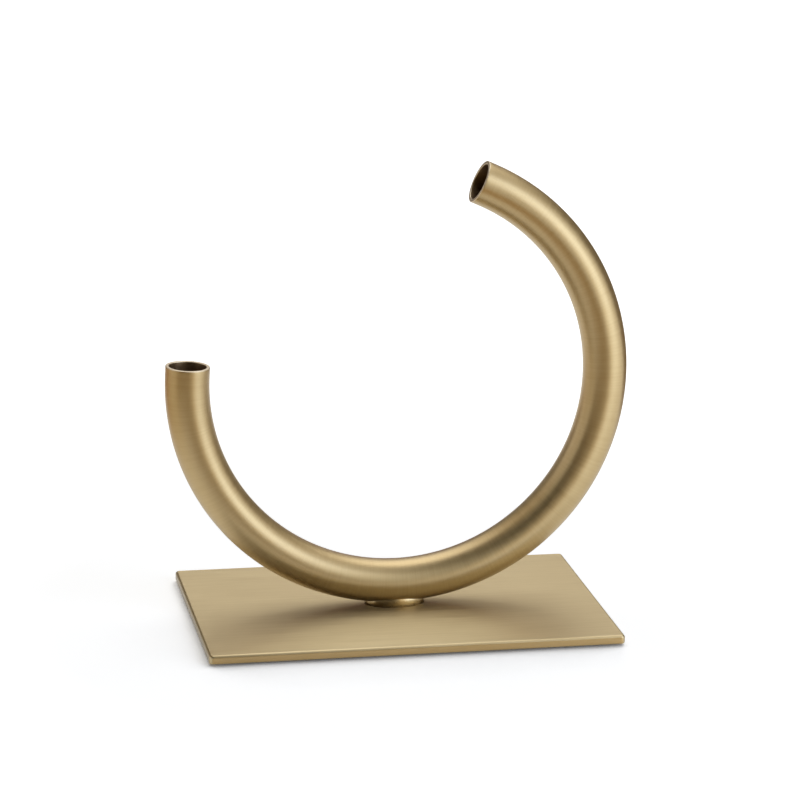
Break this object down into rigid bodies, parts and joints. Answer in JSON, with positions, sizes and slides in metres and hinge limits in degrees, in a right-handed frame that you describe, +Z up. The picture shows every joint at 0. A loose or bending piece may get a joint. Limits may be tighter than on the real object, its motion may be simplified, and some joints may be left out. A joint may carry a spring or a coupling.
{
  "type": "arc bud vase",
  "caption": "Satin brass tube bent into an open ring with an upright and a slanted mouth, fixed on an oval boss to a flat rectangular base plate; holds cut stems in water.",
  "frame": {"origin": "on the resting surface, under the middle of the base plate and of the bent tube", "axes": "+Z up, +X along the plate's long side towards the tall arm, +Y from the front of the plate to its back"},
  "size_m": [0.2649, 0.15, 0.2626],
  "materials": {
    "tube_brass": "satin, brushed round the tube",
    "boss_brass": "turned, lightly polished",
    "plate_brass": "satin, brushed along the length",
    "fixing_steel": "zinc plated",
    "pad_felt": "pressed felt"
  },
  "bodies": {
    "root": {"arc_tube": "tube_brass", "saddle_boss": "boss_brass", "base_plate": "plate_brass", "stud": "boss_brass", "washer": "fixing_steel", "nut": "fixing_steel", "pad_front_left": "pad_felt", "pad_front_right": "pad_felt", "pad_back_left": "pad_felt", "pad_back_right": "pad_felt"}
  },
  "joints": []
}
